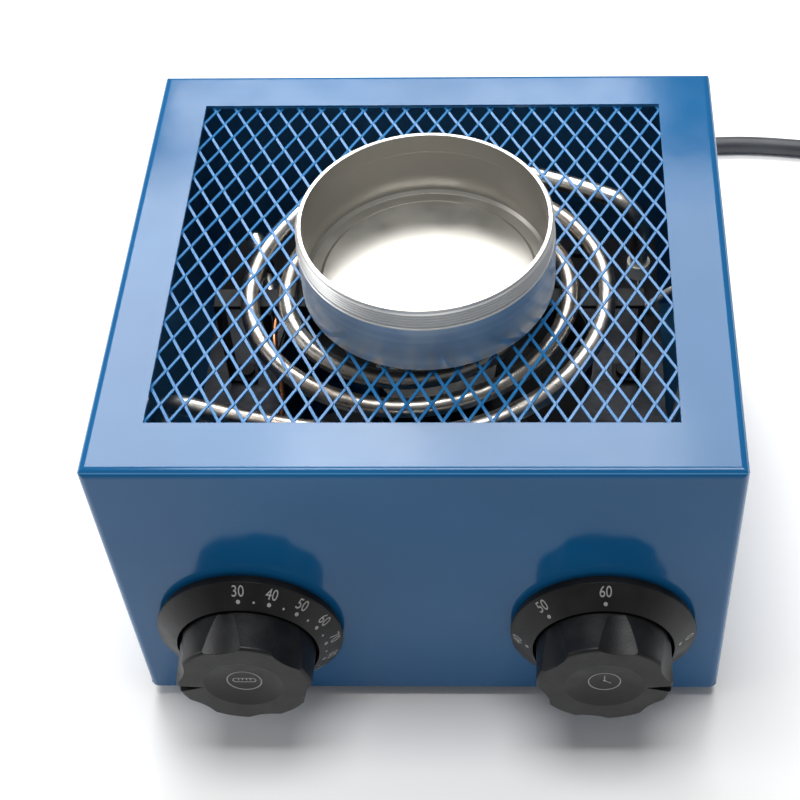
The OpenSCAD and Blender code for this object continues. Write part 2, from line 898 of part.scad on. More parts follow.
// Grip with its flutes, its hollow face and its pointer notch
module grip(flute, notch) {
    dome_r = (hollow_r * hollow_r + hollow_deep * hollow_deep) / (2 * hollow_deep);
    inside_top = knob_reach - grip_face;
    difference() {
        rotate_extrude() grip_outline();
        for (i = [0:flute_count - 1])
            rotate([0, 0, -flute - 360 * i / flute_count])
                translate([0, grip_r - flute_deep + flute_r, knob_reach])
                    rotate([flute_tilt, 0, 0])
                        translate([0, 0, -2 * knob_reach]) cylinder(r = flute_r, h = 3 * knob_reach);
        translate([0, 0, knob_reach - hollow_deep + dome_r]) sphere(dome_r, $fn = 96);
        rotate([0, 0, -notch]) translate([0, 0, knob_reach - notch_deep])
            linear_extrude(notch_deep + 1)
                polygon([[0, notch_in], [notch_w / 2, grip_r + 1], [-notch_w / 2, grip_r + 1]]);
        difference() {
            translate([0, 0, grip_back - 1])
                cylinder(r = grip_r - flute_deep - grip_wall, h = inside_top - grip_back + 1);
            translate([0, 0, grip_back - 2])
                cylinder(r = stem_r + hub_wall, h = knob_reach);
        }
        stem(stem_r + 0.02);
    }
}

module thermostat_body() {
    color("#d8d5cc") at_front(-knob_x, knob_z)
        control_body(thermostat_w, thermostat_h, thermostat_d);
}

module thermostat_stem() {
    color("silver") at_front(-knob_x, knob_z) stem(stem_r);
}

module thermostat_screws() {
    color("silver") at_front(-knob_x, knob_z) control_screws();
}

module temperature_dial() {
    color("#2b2b2b") at_front(-knob_x, knob_z) dial_ring();
}

module temperature_knob() {
    color("#343434") at_front(-knob_x, knob_z) grip(first_flute[0], notch_turn[0]);
}

module timer_body() {
    color("#c9ccd0") at_front(knob_x, knob_z) control_body(timer_w, timer_h, timer_d);
}

module timer_stem() {
    color("silver") at_front(knob_x, knob_z) stem(stem_r);
}

module timer_screws() {
    color("silver") at_front(knob_x, knob_z) control_screws();
}

module timer_dial() {
    color("#2b2b2b") at_front(knob_x, knob_z) dial_ring();
}

module timer_knob() {
    color("#343434") at_front(knob_x, knob_z) grip(first_flute[1], notch_turn[1]);
}

module at_bulb() {
    translate([bulb_x, bulb_y, bulb_z]) rotate([0, 0, bulb_turn]) rotate([90, 0, 0]) children();
}

module thermostat_bulb() {
    straight = bulb_l - 2 * bulb_r;
    color("#d9dadb") at_bulb() {
        translate([0, 0, -straight / 2]) cylinder(r = bulb_r, h = straight);
        for (s = [-1, 1]) translate([0, 0, s * straight / 2]) sphere(bulb_r);
    }
}

// Post on the left bracket with a ring round the bulb
module bulb_holder() {
    ring_r = bulb_r + 1;
    color("#8d9094") difference() {
        union() {
            at_bulb() translate([0, 0, -holder_l / 2]) cylinder(r = ring_r, h = holder_l);
            translate([bulb_x - holder_out, bulb_y, bracket_top])
                cylinder(r = holder_r, h = bulb_z - 1 - bracket_top);
        }
        at_bulb() translate([0, 0, -holder_l]) cylinder(r = bulb_r + fit_gap, h = 2 * holder_l);
    }
}

// Thin tube from the bulb to the thermostat, by shares of the way down chosen by hand
module thermostat_capillary() {
    out = [sin(bulb_turn), -cos(bulb_turn), 0];
    start = [bulb_x, bulb_y, bulb_z] + (bulb_l / 2 - capillary_sunk) * out;
    end = [-knob_x, front_y + sheet + thermostat_d / 2, knob_z + thermostat_h / 2];
    way = end - start;
    path = concat(
        [start, start + 4 * out],
        [
            for (p = [
                [0.06, 0.144, 0.036], [-0.04, 0.242, 0.154], [-0.19, 0.37, 0.343],
                [0.1, 0.498, 0.533], [0.45, 0.613, 0.675], [0.85, 0.727, 0.77],
                [0.99, 0.83, 0.82]
            ]) [
                start[0] + way[0] * p[0] + capillary_sway * sin(180 * p[1]),
                start[1] + way[1] * p[1],
                start[2] + way[2] * p[2]
            ]
        ],
        [end + [0, 3, 6], end + [0, 0, 2.5], end]
    );
    color("#b87333") swept_tube(path, capillary_r, 8);
}

module at_block_screws() {
    for (s = [-1, 1]) translate([block_x + s * block_l / 2 * 0.8, block_y, 0]) children();
}

module terminal_block() {
    color("#e6e1d2") difference() {
        translate([block_x - block_l / 2, block_y - block_d / 2, base_top])
            cube([block_l, block_d, block_h]);
        at_block_screws() translate([0, 0, base_top - 1]) cylinder(r = m3_hole, h = block_h + 2);
        for (x = [-8, 0, 8])
            translate([block_x + x, block_y, base_top + block_h - 5])
                cylinder(r = 2.4, h = 6);
    }
}

module terminal_screws() {
    color("silver") {
        at_block_screws() translate([0, 0, base_top + block_h]) mirror([0, 0, 1])
            screw(m3_r, block_h + base_t + 1, m3_head_r, m3_head_h);
        for (x = [-8, 0, 8])
            translate([block_x + x, block_y, base_top + block_h - 5]) cylinder(r = 2.3, h = 3);
    }
}

// Insulated wires from the heater to the controls and the terminal block
module internal_wires() {
    color("#efece4") {
        swept_tube(left_wire, wire_r, 8);
        swept_tube(right_wire, wire_r, 8);
        swept_tube(timer_wire, wire_r, 8);
    }
}

// Lower end of the pin under an arm's leg
function pin_foot(arm) =
    [heater_x, heater_y, heater_z - seal_h - pin_h] + arm[len(arm) - 1];

// Routes of the wires, by points chosen by hand
left_pin = pin_foot(left_arm);
right_pin = pin_foot(right_arm);
wire_entry = base_top + 6.5;
wire_fall = right_pin[2] - wire_entry;
wall_room = inner_w / 2 - right_pin[0];
control_front = front_y + sheet;
timer_back = control_front + timer_d;
block_side = block_x + block_l / 2;
block_front = block_y - block_d / 2;
left_wire = concat(
    [for (p = [[0, 0, 0], [0, 0, -2.2], [1, -3, -3.6], [4, -9, -4.4]]) left_pin + p],
    [
        for (p = [[-9.25, 31, 23], [-5.25, 23, 23.4], [-3.25, 18, 21.2]])
            [-knob_x, control_front, knob_z] + p
    ],
    [[-knob_x - 3.25, control_front + 18, knob_z + thermostat_h / 2]]
);
right_wire = concat(
    [right_pin, right_pin - [0, 0, 2.2]],
    // Over the bracket: share of the room to the wall, then along and up
    [
        for (p = [
            [0.04, -3.4, -3.5], [0.12, -10, -2], [0.22, -13.4, 4], [0.39, -14.7, 10],
            [0.57, -14.5, 12.5], [0.72, -13.4, 10], [0.78, -12.4, 2]
        ]) right_pin + [wall_room * p[0], p[1], p[2]]
    ],
    // Down beside the bracket: out from it, back from its middle, share of the fall
    [
        for (p = [
            [11.7, 18.2, 0.15], [11.5, 16.4, 0.34], [10, 12.6, 0.54], [8, 7.7, 0.72],
            [6.5, 5.7, 0.85], [5.2, 11.7, 0.954], [4, 22.7, 1], [2.6, 31.7, 1],
            [-2.6, 41.7, 1]
        ]) [bracket_x + p[0], fan_y + p[1], right_pin[2] - wire_fall * p[2]]
    ],
    [
        for (p = [[9.5, -7, 0], [5.5, -1.2, 0], [3, 0, 0], [0, 0, 0]])
            [block_side, block_y, wire_entry] + p
    ]
);
timer_wire = concat(
    [
        for (p = [[-10, 0, -12], [-10, 2.4, -12], [-6.5, 6, -20]])
            [knob_x, timer_back, knob_z] + p
    ],
    [
        for (p = [[7, -34, 4.3], [6, -18, 0.8], [6, 0, 0], [4, 36, 0]])
            [block_x, body_y, wire_entry] + p
    ],
    [for (p = [[1, -10, 0], [0, -3, 0], [0, 0, 0]]) [block_x, block_front, wire_entry] + p]
);

module earth_stud() {
    color("silver") translate([earth_x, block_y, foot_h])
        screw(m4_r, base_t + 12, m4_head_r, m4_head_h);
}

module earth_nut() {
    color("silver") translate([earth_x, block_y, base_top])
        hex_nut(m4_nut_r, m4_r + fit_gap, m4_nut_h);
}

// The lead's last bit inside the housing
module inner_lead() {
    start_y = back_y - sheet - relief_flange_t;
    block_rear = block_y + block_d / 2;
    room = start_y - block_rear;
    fall = exit_z - base_top - block_h / 2;
    // Each point: to the side, share of the room left to the block, share of the fall
    color("#2e3034") swept_tube([
        for (p = [
            [0, 1, 0], [0, 0.8, 0], [-0.4, 0.62, 0.05], [-1.5, 0.54, 0.2], [-4, 0.54, 0.45],
            [-7, 0.54, 0.7], [-9, 0.46, 0.88], [-10, 0.3, 0.98], [-10, 0.13, 1], [-10, 0, 1]
        ]) [exit_x + p[0], block_rear + room * p[1], exit_z - fall * p[2]]
    ], inner_lead_r, 8);
}

// Moulded relief: a flange each side of the wall, then a tapered grooved tail
module strain_relief() {
    groove_pitch = (relief_l - relief_flange_t) / (relief_grooves + 1);
    color("#232528") translate([exit_x, back_y, exit_z]) rotate([-90, 0, 0]) difference() {
        union() {
            translate([0, 0, -sheet - relief_flange_t])
                cylinder(r = relief_flange_r - 1, h = relief_flange_t);
            translate([0, 0, -sheet - 0.5]) cylinder(r = relief_neck_r, h = sheet + 1);
            cylinder(r = relief_flange_r, h = relief_flange_t);
            cylinder(r1 = relief_r, r2 = relief_tip_r, h = relief_l);
        }
        for (i = [1:relief_grooves])
            translate([0, 0, relief_flange_t + i * groove_pitch - 1]) difference() {
                cylinder(r = relief_flange_r, h = relief_groove_w);
                translate([0, 0, -1])
                    cylinder(r = lead_r + fit_gap, h = relief_groove_w + 2);
            }
    }
}

module power_cord() {
    color("#3c3f45") swept_tube(lead_path, lead_r, 8);
}

module power_cord_coil() {
    color("#3c3f45") swept_tube(coil_path, lead_r, 6);
}

// Strap round one side of the coil
module cord_tie() {
    inner_h = lead_d + lead_layer + 2 * tie_gap;
    from = lead_coil_in - lead_r - tie_gap;
    upto = coil_out + lead_r + tie_gap;
    color("#1c1c1e") translate([coil_middle[0], coil_middle[1], 0]) rotate([0, 0, 35])
        translate([from - tie_t, tie_w / 2, 0]) rotate([90, 0, 0]) linear_extrude(tie_w)
            difference() {
                square([upto - from + 2 * tie_t, inner_h + 2 * tie_t]);
                translate([tie_t, tie_t]) square([upto - from, inner_h]);
            }
}

// Moulded plug that lies flat, with its blades pointing away from the coil
module at_plug() {
    translate(plug_start) rotate([90, 0, 0]) children();
}

module plug_body() {
    color("#2a2c30") at_plug() difference() {
        union() {
            cylinder(r1 = lead_r + 0.6, r2 = lead_r + 2.4, h = plug_tip);
            translate([0, 0, plug_tip]) intersection() {
                linear_extrude(plug_l - plug_tip) rounded_rect(plug_w, plug_h, 7);
                rotate([90, 0, 0]) translate([0, 0, -plug_h])
                    linear_extrude(2 * plug_h) polygon([
                        [-plug_w / 2 + 4, 0], [plug_w / 2 - 4, 0], [plug_w / 2, 8],
                        [plug_w / 2, plug_l], [-plug_w / 2, plug_l], [-plug_w / 2, 8]
                    ]);
            }
        }
        blades();
    }
}

// Three flat blades, sunk into the plug's face
module blades() {
    translate([0, 0, plug_l - pin_sunk]) {
        translate([-pin_t / 2, -8.5, 0]) cube([pin_t, pin_w, pin_l + pin_sunk]);
        for (s = [-1, 1]) translate([s * 7.6, 4, 0]) rotate([0, 0, -s * 60])
            translate([-pin_t / 2, -pin_w / 2, 0]) cube([pin_t, pin_w, pin_l + pin_sunk]);
    }
}

module plug_pins() {
    color("silver") at_plug() blades();
}

// Screw-top tin that holds the parts, standing on the grille without its lid
module parts_dish() {
    neck_r = dish_r - 0.8;
    rim_r = neck_r - dish_wall - 0.4;
    collar_z = dish_h - collar_h;
    color("#cfd1d3") translate([dish_x, body_y + dish_y, dish_z]) rotate_extrude() difference() {
        union() {
            polygon([
                [0, 0], [dish_r - 1.5, 0], [dish_r, 1.5], [dish_r, collar_z - 0.3],
                [dish_r - 0.3, collar_z], [neck_r, collar_z], [neck_r, dish_h - 0.3],
                [neck_r - 0.3, dish_h], [0, dish_h]
            ]);
            for (i = [0:thread_count - 1])
                translate([neck_r, collar_z + 0.5 + i * thread_h]) polygon([
                    [-0.5, 0], [0, 0], [thread_out, 0.4], [thread_out, 0.6], [0, 1], [-0.5, 1]
                ]);
        }
        polygon([
            [-1, dish_floor + 0.5], [dish_r - dish_wall - 5.5, dish_floor + 0.5],
            [dish_r - dish_wall - 4.5, dish_floor], [dish_r - dish_wall - 1, dish_floor],
            [dish_r - dish_wall, dish_floor + 1], [dish_r - dish_wall, collar_z - 1.5],
            [rim_r, collar_z], [rim_r, dish_h + 1], [-1, dish_h + 1]
        ]);
    }
}

housing_shell();
top_grille();
base_plate();
base_screws();
rubber_feet();
foot_screws();
foot_nuts();
heater_tube();
heater_end_seals();
heater_pins();
heater_support();
heater_clips();
support_screws();
fan_frame();
fan_stator();
fan_bearings();
fan_impeller();
fan_shaft();
fan_brackets();
fan_screws();
fan_nuts();
bracket_screws();
thermostat_body();
thermostat_stem();
thermostat_screws();
thermostat_bulb();
thermostat_capillary();
bulb_holder();
temperature_dial();
temperature_knob();
timer_body();
timer_stem();
timer_screws();
timer_dial();
timer_knob();
terminal_block();
terminal_screws();
internal_wires();
earth_stud();
earth_nut();
inner_lead();
strain_relief();
power_cord();
power_cord_coil();
cord_tie();
plug_body();
plug_pins();
parts_dish();
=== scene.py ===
"""Looks of the watch parts dryer: finishes, net, heater, wires, mains lead and printed marks."""
import json
import math

import bpy
from mathutils import Euler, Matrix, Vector


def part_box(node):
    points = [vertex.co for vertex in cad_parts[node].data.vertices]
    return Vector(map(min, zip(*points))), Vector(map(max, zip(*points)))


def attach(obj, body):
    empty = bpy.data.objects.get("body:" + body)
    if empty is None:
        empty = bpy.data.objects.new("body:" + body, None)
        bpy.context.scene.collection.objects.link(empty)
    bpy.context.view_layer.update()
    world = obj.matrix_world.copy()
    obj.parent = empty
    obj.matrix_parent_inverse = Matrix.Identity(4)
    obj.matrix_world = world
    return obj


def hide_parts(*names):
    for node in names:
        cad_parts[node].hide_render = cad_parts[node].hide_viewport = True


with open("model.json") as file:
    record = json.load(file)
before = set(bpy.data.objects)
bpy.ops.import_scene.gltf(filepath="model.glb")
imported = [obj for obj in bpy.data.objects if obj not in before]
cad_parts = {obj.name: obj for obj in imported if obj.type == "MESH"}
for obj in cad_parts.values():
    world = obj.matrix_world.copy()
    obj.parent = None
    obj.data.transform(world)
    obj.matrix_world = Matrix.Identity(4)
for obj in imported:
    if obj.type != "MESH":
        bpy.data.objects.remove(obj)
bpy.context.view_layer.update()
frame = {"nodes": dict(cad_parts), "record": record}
nodes = frame["nodes"]
MM = 0.001

# Camera, at the photograph's viewing angle
CAMERA_PLACE = (0.038558, -0.369627, 0.511318)
CAMERA_TURN = (39.769, 0.958, 0.729)
CAMERA_LENS = 73.14
CAMERA_SHIFT = -0.135

# Housing and window, in millimetres
BODY_Y = 11.375
FRONT_Y = BODY_Y - 92
BACK_Y = BODY_Y + 92
TOP_Z = 130
SHEET = 1.2
INNER_WALL_X = 98.8

# Heater coil, in millimetres
HEATER_MIDDLE = (0.2, BODY_Y - 1.5, TOP_Z - 17)
TUBE_R = 3.2
COIL_R = 60.2
HALF_PITCH = 6.2
COIL_SQUEEZE = 0.95
OUTER_R = COIL_R + HALF_PITCH
CLIP_X = COIL_R - 4 * HALF_PITCH
LEG_R = 250
LEG_BEND_R = 12
LEG_DROP = 15
LEG_STARTS = (94, 108)
LEG_SWEEPS = (14.951, 9)
PIN_DROP = 11

# Wires and thin sensing tube, in millimetres
WIRE_R = 1.2
WIRE_ENTRY = 13.7
CONTROL_FRONT = FRONT_Y + SHEET
TIMER_DEPTH = 32
BRACKET_X = 82
FAN_Y = BODY_Y + 8
BLOCK_X = 44
BLOCK_SIDE = 64
BLOCK_Y = 80.175
BLOCK_FRONT = 71.175
BLOCK_BACK = 89.175
BULB = (-58.4, BODY_Y + 15, TOP_Z - 25)
BULB_TURN = 16
BULB_REACH = 19.6
SENSE_R = 1.1
SENSE_SWAY = 3

# Expanded metal, in millimetres
DIAMOND_W = 7.6
DIAMOND_D = 13.7
STRAND_W = 1.0
STRAND_T = 0.5
STRAND_TILT = 6
STRAND_LIFT = 0.14
STRAND_LAP = 0.76
STRAND_CUT = 0.08
BOND_L = 0.3

# Insides in millimetres: the dish's radius, and the housing's middle height and half sizes. Within
# them the dish gets a painted reflection and the housing's inside walls a painted lighter blue for
# fill light.
INSIDE_R = 40.3
INSIDE_Z = 68
INSIDE_HALF = (99.4, 91.4, 61.3)

# Mains lead, in millimetres: its route from the foot of its exit on the back, and its coil
LEAD_R = 3.8
LEAD_D = 2 * LEAD_R
LEAD_EXIT = (64, 128.375, 35)
LEAD_FOOT = (64, BACK_Y, 0)
LEAD_POINTS = [
    (0, 38.6, 34.6), (0, 48.6, 32.4), (0.5, 58.6, 28), (2, 67.6, 22.4),
    (5, 75.6, 16.6), (10, 83.1, 11.2), (17, 89.6, 7), (26, 95.6, 4.6),
    (36, 100, 3.8), (46, 102.6, 3.8), (56, 103.6, 3.8), (67, 103.9, 3.8),
    (78, 103.3, 3.8), (89, 102.1, 3.8), (100, 100.5, 3.9), (111, 98.7, 4.3),
    (122, 97.5, 4.7),
]
COIL_MIDDLE = (213, BACK_Y + 46.6)
COIL_IN = 32.8
COIL_TURNS = 2.125
COIL_LAYER = 8.2
COIL_LOW = 4.9
COIL_OUT = COIL_IN + COIL_LAYER * COIL_TURNS
CLIMB_TURNS = 0.5
LEAD_OUT = 42
INNER_LEAD_R = 3
INNER_LEAD_RUN = 11
INNER_LEAD_FALL = 20.3

# Dials and knobs, in millimetres and degrees on the clock face
KNOB_X = 58.75
KNOB_Z = 46.25
KNOB_REACH = 22.75
RING_OUT_R = 30.35
RING_EDGE_H = 3.4
RING_SLOPE = 39.85
NUMERAL_R = 28.5
NUMERAL_H = 3.8
NUMERAL_W = 3.9
HOLLOW_R = 13
HOLLOW_DEEP = 2
PRINT_T = 0.08
PRINT_GAP = 0.02
LINE_W = 0.36
MARK_DOT_R = 0.68
SMALL_DOT_R = 0.4
HEAT_DOTS_R = 25.7
HEAT_STEP = 22.2
TIME_DOTS_R = 25.3
TIME_STEP = 45.5

# Floor's half size in metres, and the strength of the light from all round
FLOOR_HALF = 4
WORLD_STRENGTH = 0.27


# Small geometry helpers

def add_points(*points):
    return tuple(sum(values) for values in zip(*points))


def smooth_line(points, steps):
    """A Catmull-Rom line through the points."""
    line = [Vector(p) for p in points]
    line = [2 * line[0] - line[1], *line, 2 * line[-1] - line[-2]]
    result = []
    for a, b, c, d in zip(line, line[1:], line[2:], line[3:]):
        for i in range(steps):
            t = i / steps
            result.append(
                0.5 * (2 * b + (c - a) * t + (2 * a - 5 * b + 4 * c - d) * t ** 2
                       + (3 * b - a - 3 * c + d) * t ** 3)
            )
    return result + [line[-2]]


def arc(middle, radius, start, end, step=3):
    """Points of a flat arc, without its first one."""
    count = max(1, round(abs(end - start) / step))
    angles = [math.radians(start + (end - start) * i / count) for i in range(1, count + 1)]
    return [
        (middle[0] + radius * math.cos(a), middle[1] + radius * math.sin(a), 0)
        for a in angles
    ]


def dress(piece, material, body):
    """Links a piece to the scene, paints it and lets it ride on a body."""
    bpy.context.scene.collection.objects.link(piece)
    piece.data.materials.append(material)
    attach(piece, body)
    return piece


def tube(name, path, radius, material, rounds=8):
    """A round tube on the housing, along a path in millimetres."""
    curve = bpy.data.curves.new(name, "CURVE")
    curve.dimensions = "3D"
    curve.bevel_depth = radius * MM
    curve.bevel_resolution = rounds
    curve.use_fill_caps = True
    spline = curve.splines.new("POLY")
    spline.points.add(len(path) - 1)
    for point, place in zip(spline.points, path):
        point.co = (*(Vector(place) * MM), 1)
    return dress(bpy.data.objects.new(name, curve), material, "housing")


def solid(name, vertices, faces, material, body, slot=None):
    """A mesh piece from vertices in millimetres."""
    mesh = bpy.data.meshes.new(name)
    mesh.from_pydata([Vector(v) * MM for v in vertices], [], faces)
    mesh.validate()
    mesh.update()
    return dress(bpy.data.objects.new(name, mesh), material, body)


# Materials

def new_material(name, colour, roughness, metallic=0.0, specular=0.5):
    material = bpy.data.materials.new(name)
    material.use_nodes = True
    shader = material.node_tree.nodes["Principled BSDF"]
    shader.inputs["Base Color"].default_value = (*colour, 1)
    shader.inputs["Roughness"].default_value = roughness
    shader.inputs["Metallic"].default_value = metallic
    shader.inputs["Specular IOR Level"].default_value = specular
    return material


def shader_of(material):
    return material.node_tree.nodes["Principled BSDF"]


def add(material, kind, **values):
    """A new node, with some of its sockets set."""
    node = material.node_tree.nodes.new(kind)
    for name, value in values.items():
        node.inputs[name.replace("_", " ")].default_value = value
    return node


def link(material, source, target):
    material.node_tree.links.new(source, target)


def frame_place(material, stretch=(1, 1, 1)):
    """The place in the object's frame, stretched along its axes."""
    place = add(material, "ShaderNodeTexCoord").outputs["Object"]
    mapping = add(material, "ShaderNodeMapping", Scale=stretch)
    link(material, place, mapping.inputs["Vector"])
    return mapping.outputs["Vector"]


def turned_place(material, middle):
    """Distance from an upright axis, and height: alike all round, as lathe marks are."""
    place = add(material, "ShaderNodeTexCoord").outputs["Object"]
    flat = add(material, "ShaderNodeVectorMath")
    flat.operation = "SUBTRACT"
    flat.inputs[1].default_value = (middle[0], middle[1], 0)
    link(material, place, flat.inputs[0])
    parts = add(material, "ShaderNodeSeparateXYZ")
    link(material, flat.outputs[0], parts.inputs[0])
    across = add(material, "ShaderNodeCombineXYZ")
    link(material, parts.outputs["X"], across.inputs["X"])
    link(material, parts.outputs["Y"], across.inputs["Y"])
    radius = add(material, "ShaderNodeVectorMath")
    radius.operation = "LENGTH"
    link(material, across.outputs[0], radius.inputs[0])
    result = add(material, "ShaderNodeCombineXYZ")
    link(material, radius.outputs["Value"], result.inputs["X"])
    link(material, parts.outputs["Z"], result.inputs["Y"])
    return result.outputs[0]


def noise(material, scale, place=None, detail=3.0):
    texture = add(material, "ShaderNodeTexNoise", Scale=scale, Detail=detail)
    link(material, place or frame_place(material), texture.inputs["Vector"])
    return texture.outputs[0]


def vary(material, socket, source, low, high):
    """Lets a texture move a shader's socket between two values."""
    span = add(
        material, "ShaderNodeMapRange", From_Min=0.3, From_Max=0.7, To_Min=low, To_Max=high
    )
    link(material, source, span.inputs["Value"])
    link(material, span.outputs[0], shader_of(material).inputs[socket])


def tint(material, source, first, second, start=0.35, end=0.65):
    """Lets a texture mix two base colours."""
    ramp = add(material, "ShaderNodeValToRGB")
    ramp.color_ramp.elements[0].position = start
    ramp.color_ramp.elements[1].position = end
    ramp.color_ramp.elements[0].color = (*first, 1)
    ramp.color_ramp.elements[1].color = (*second, 1)
    link(material, source, ramp.inputs[0])
    link(material, ramp.outputs["Color"], shader_of(material).inputs["Base Color"])


def bump(material, layers, edge=0.0):
    """Stacks bumps of (height texture, depth in millimetres) over softened edges."""
    normal = None
    if edge:
        soft = add(material, "ShaderNodeBevel", Radius=edge * MM)
        soft.samples = 4
        normal = soft.outputs["Normal"]
    for height, depth in layers:
        node = add(material, "ShaderNodeBump", Strength=1.0, Distance=depth * MM)
        link(material, height, node.inputs["Height"])
        if normal:
            link(material, normal, node.inputs["Normal"])
        normal = node.outputs["Normal"]
    link(material, normal, shader_of(material).inputs["Normal"])


def paint(name, dark, light, roughness, wave=0.12, edge=0.25):
    """Glossy stove enamel: slight orange peel, slow waves and cloudy colour."""
    material = new_material(name, light, roughness, specular=0.3)
    tint(material, noise(material, 14), dark, light)
    vary(material, "Roughness", noise(material, 60), roughness * 0.8, roughness * 1.3)
    bump(material, [
        (noise(material, 22, detail=1.0), wave),
        (noise(material, 150, detail=1.0), wave / 8),
        (noise(material, 650, detail=2.0), 0.0035),
    ], edge)
    return material


def metal(name, dark, light, roughness, scale=300, stretch=(1, 1, 1), depth=0.01, edge=0.0):
    """Metal with fine marks and slight stains."""
    material = new_material(name, light, roughness, metallic=1.0)
    tint(material, noise(material, 45), dark, light)
    marks = noise(material, scale, frame_place(material, stretch))
    vary(material, "Roughness", marks, roughness * 0.75, roughness * 1.35)
    bump(material, [(marks, depth)], edge)
    return material


def moulded(name, dark, light, roughness, grain=1400, depth=0.02, edge=0.3, specular=0.5):
    """Moulded plastic, rubber or ceramic with a fine grain."""
    material = new_material(name, light, roughness, specular=specular)
    tint(material, noise(material, 80), dark, light)
    vary(material, "Roughness", noise(material, 160), roughness * 0.85, roughness * 1.2)
    bump(material, [(noise(material, grain, detail=2.0), depth)], edge)
    return material


def recolour(material, outside, colour):
    """Gives another colour to the parts where the number called outside is 0: painted light inside the
    housing and a painted reflection inside the dish.
    """
    base = shader_of(material).inputs["Base Color"]
    mix = add(material, "ShaderNodeMixRGB", Color1=(*colour, 1))
    link(material, outside, mix.inputs["Fac"])
    link(material, base.links[0].from_socket, mix.inputs["Color2"])
    link(material, mix.outputs[0], base)


def beyond(material, distance, limit):
    """A number that is 0 up to the limit and 1 beyond it."""
    above = add(material, "ShaderNodeMath")
    above.operation = "GREATER_THAN"
    above.inputs[1].default_value = limit
    link(material, distance, above.inputs[0])
    return above.outputs[0]


def beyond_box(material, middle, half):
    """A number that is 0 inside an upright box and 1 outside it, sizes in metres."""
    place = add(material, "ShaderNodeTexCoord").outputs["Object"]
    for operation, vector in (("SUBTRACT", middle), ("DIVIDE", half), ("ABSOLUTE", None)):
        step = add(material, "ShaderNodeVectorMath")
        step.operation = operation
        if vector:
            step.inputs[1].default_value = vector
        link(material, place, step.inputs[0])
        place = step.outputs[0]
    parts = add(material, "ShaderNodeSeparateXYZ")
    link(material, place, parts.inputs[0])
    largest = parts.outputs["X"]
    for axis in "YZ":
        larger = add(material, "ShaderNodeMath")
        larger.operation = "MAXIMUM"
        link(material, largest, larger.inputs[0])
        link(material, parts.outputs[axis], larger.inputs[1])
        largest = larger.outputs[0]
    return beyond(material, largest, 1)


def turned_aluminium(name, middle):
    """Lathe-turned aluminium with fine rings, darker and warmer inside the dish as a painted
    reflection of the watch parts in it.
    """
    material = new_material(name, (0.83, 0.83, 0.82), 0.34, metallic=1.0)
    place = turned_place(material, middle)
    fine = noise(material, 3200, place, detail=2.0)
    broad = noise(material, 420, place, detail=2.0)
    tint(material, broad, (0.76, 0.76, 0.75), (0.86, 0.86, 0.845))
    parts = add(material, "ShaderNodeSeparateXYZ")
    link(material, place, parts.inputs[0])
    # Painted reflection: within the dish's inner radius the colour goes darker and warmer, standing in
    # for the gold watch parts it reflects.
    outside = beyond(material, parts.outputs["X"], INSIDE_R * MM)
    recolour(material, outside, (0.5, 0.485, 0.45))
    vary(material, "Roughness", noise(material, 90), 0.34, 0.46)
    bump(material, [(broad, 0.003), (fine, 0.0012)], edge=0.1)
    return material


def heated_steel(name):
    """Satin stainless tube, browned a little where it has been hot."""
    material = new_material(name, (0.6, 0.57, 0.53), 0.32, metallic=1.0)
    tint(material, noise(material, 38), (0.38, 0.33, 0.28), (0.62, 0.6, 0.56))
    vary(material, "Roughness", noise(material, 420), 0.26, 0.38)
    bump(material, [(noise(material, 900), 0.002)])
    return material


BLUE_DARK = (0.005, 0.09, 0.235)
BLUE_LIGHT = (0.007, 0.106, 0.27)
blue_paint = paint("blue_enamel", BLUE_DARK, BLUE_LIGHT, 0.11)
# Painted light: the housing's inside walls get a much lighter blue than the outside, standing in for
# fill light inside the box.
painted_light_inside = beyond_box(
    blue_paint, (0, BODY_Y * MM, INSIDE_Z * MM), tuple(half * MM for half in INSIDE_HALF)
)
recolour(blue_paint, painted_light_inside, (0.06, 0.22, 0.44))
# Painted highlight: the net's enamel is a lighter copy of the housing's blue, standing in for the
# bright highlights on its strands.
net_paint = paint("net_enamel", (0.012, 0.13, 0.33), (0.015, 0.15, 0.37), 0.2, wave=0.0, edge=0.12)
base_paint = paint("base_enamel", BLUE_DARK, BLUE_LIGHT, 0.3)
fan_paint = paint("fan_enamel", (0.012, 0.013, 0.015), (0.02, 0.021, 0.024), 0.3)
zinc = metal("zinc_plate", (0.5, 0.5, 0.49), (0.68, 0.68, 0.66), 0.3, depth=0.006, edge=0.15)
bright_steel = metal("bright_steel", (0.6, 0.6, 0.6), (0.72, 0.72, 0.71), 0.22, depth=0.004)
# Painted shade: the brackets' steel is made nearly black, standing in for the shade inside the
# housing.
shaded_sheet_steel = metal(
    "rolled_steel_painted_shade", (0.03, 0.032, 0.037), (0.055, 0.058, 0.065), 0.55, stretch=(1, 9, 1), edge=0.2
)
black_steel = moulded(
    "black_steel", (0.011, 0.012, 0.014), (0.02, 0.021, 0.024), 0.6, grain=500, specular=0.2
)
bulb_metal = metal("plated_copper", (0.6, 0.57, 0.53), (0.75, 0.73, 0.7), 0.26, depth=0.006)
thin_tube = metal("copper", (0.5, 0.2, 0.09), (0.68, 0.31, 0.16), 0.3, depth=0.006)
pin_brass = metal("brass", (0.66, 0.52, 0.27), (0.78, 0.63, 0.36), 0.26, depth=0.004, edge=0.2)
winding = metal("winding", (0.28, 0.11, 0.04), (0.5, 0.22, 0.09), 0.4, scale=900, depth=0.08)
ceramic = moulded("ceramic", (0.68, 0.66, 0.6), (0.78, 0.76, 0.7), 0.5)
ivory = moulded("ivory_plastic", (0.66, 0.63, 0.53), (0.74, 0.71, 0.61), 0.4)
sleeve = moulded("woven_sleeve", (0.68, 0.66, 0.6), (0.82, 0.8, 0.75), 0.6, grain=900, depth=0.08)
